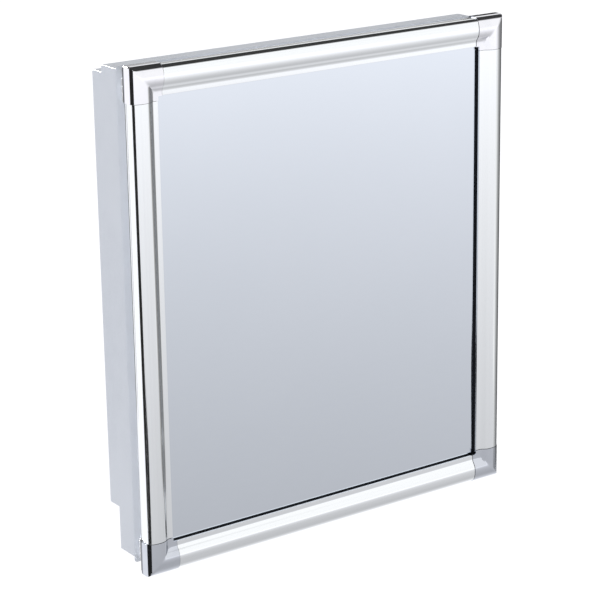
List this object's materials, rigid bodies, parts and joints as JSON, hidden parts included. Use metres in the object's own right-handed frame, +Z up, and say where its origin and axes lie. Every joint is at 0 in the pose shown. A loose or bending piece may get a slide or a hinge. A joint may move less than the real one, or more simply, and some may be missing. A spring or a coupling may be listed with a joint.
{
  "type": "medicine cabinet with mirror",
  "caption": "Shallow wall cabinet with a framed mirror door on side hinges, plated frame corners, a stepped plastic case and shelves behind the door.",
  "frame": {"origin": "on the wall plane at the back face of the case, midway across and midway up the door", "axes": "+X to the right as seen from the front, +Y into the wall, +Z up; the mirror faces -Y"},
  "size_m": [0.3984, 0.0783, 0.4524],
  "materials": {
    "case_plastic": "cool white moulded plastic, satin",
    "shelf_plastic": "white plastic, slightly glossy",
    "frame_aluminium": "bright polished and anodised",
    "corner_chrome": "bright plating on plastic",
    "mirror_silver": "silvered glass",
    "backing_board": "plain brown hardboard",
    "key_plastic": "black moulded plastic",
    "hinge_steel": "plain pressed steel",
    "screw_zinc": "bright zinc plate",
    "magnet_black": "dark ferrite magnet",
    "bumper_rubber": "pale soft rubber"
  },
  "bodies": {
    "case": {"case_shell": "case_plastic", "case_rim": "case_plastic", "shelf_upper": "shelf_plastic", "shelf_lower": "shelf_plastic", "ledge_upper_left": "case_plastic", "ledge_upper_right": "case_plastic", "ledge_lower_left": "case_plastic", "ledge_lower_right": "case_plastic", "hinge_case_leaf_top": "hinge_steel", "hinge_case_leaf_bottom": "hinge_steel", "hinge_pin_top": "hinge_steel", "hinge_pin_bottom": "hinge_steel", "screw_case_leaf_top_1": "screw_zinc", "screw_case_leaf_top_2": "screw_zinc", "screw_case_leaf_bottom_1": "screw_zinc", "screw_case_leaf_bottom_2": "screw_zinc", "catch_housing": "case_plastic", "catch_magnet": "magnet_black", "screw_catch_1": "screw_zinc", "screw_catch_2": "screw_zinc", "bumper_top": "bumper_rubber", "bumper_bottom": "bumper_rubber", "wall_screw_1": "screw_zinc", "wall_screw_2": "screw_zinc", "wall_screw_3": "screw_zinc", "wall_screw_4": "screw_zinc"},
    "door": {"rail_top": "frame_aluminium", "rail_bottom": "frame_aluminium", "stile_left": "frame_aluminium", "stile_right": "frame_aluminium", "corner_top_left": "corner_chrome", "corner_top_right": "corner_chrome", "corner_bottom_right": "corner_chrome", "corner_bottom_left": "corner_chrome", "key_top_left": "key_plastic", "key_top_right": "key_plastic", "key_bottom_right": "key_plastic", "key_bottom_left": "key_plastic", "mirror_glass": "mirror_silver", "backing_board": "backing_board", "bead_top": "shelf_plastic", "bead_bottom": "shelf_plastic", "bead_left": "shelf_plastic", "bead_right": "shelf_plastic", "strike_block": "shelf_plastic", "strike_plate": "hinge_steel", "hinge_door_leaf_top": "hinge_steel", "hinge_door_leaf_bottom": "hinge_steel", "screw_door_leaf_top_1": "screw_zinc", "screw_door_leaf_top_2": "screw_zinc", "screw_door_leaf_bottom_1": "screw_zinc", "screw_door_leaf_bottom_2": "screw_zinc"}
  },
  "joints": [
    {"name": "door_hinge", "type": "hinge", "parent": "case", "child": "door", "pos_m": [-0.195, -0.0587, 0], "axis": [0, 0, -1], "range_deg": [0, 110]}
  ]
}
